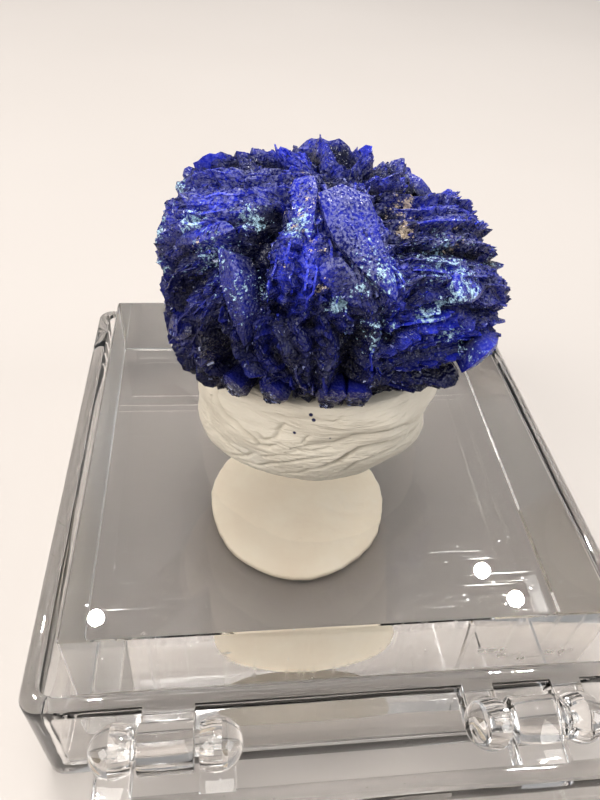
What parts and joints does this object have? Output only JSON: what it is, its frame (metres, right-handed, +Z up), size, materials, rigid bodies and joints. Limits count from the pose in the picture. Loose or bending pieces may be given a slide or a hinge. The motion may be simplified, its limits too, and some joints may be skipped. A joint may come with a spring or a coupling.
{
  "type": "azurite mineral specimen in a hinged thumbnail box",
  "caption": "Azurite rosette of radiating blades on a putty lump and a clear block, in a small clear square box whose hinged lid lies open.",
  "frame": {"origin": "centre of the box base's flat underside, on the surface that it stands on", "axes": "+Z up, +X along the hinge line to the right, +Y away from the hinges, with the open lid at -Y"},
  "size_m": [0.032, 0.0677, 0.028],
  "materials": {
    "clear_polystyrene": "clear, glossy, lightly scuffed",
    "clear_acrylic": "clear, polished, with fine scratches",
    "cream_putty": "matte, pressed flat",
    "white_putty": "matte, folded and wrinkled",
    "azurite": "sugary crystal faces, glittering, opaque"
  },
  "bodies": {
    "base": {"box_base": "clear_polystyrene", "acrylic_block": "clear_acrylic", "block_pad": "cream_putty", "mounting_putty": "white_putty", "azurite_cluster": "azurite"},
    "lid": {"box_lid": "clear_polystyrene"}
  },
  "joints": [
    {"name": "lid_hinge", "type": "hinge", "parent": "base", "child": "lid", "pos_m": [0, -0.01785, 0.008], "axis": [-1, 0, 0], "range_deg": [0, 142]}
  ]
}
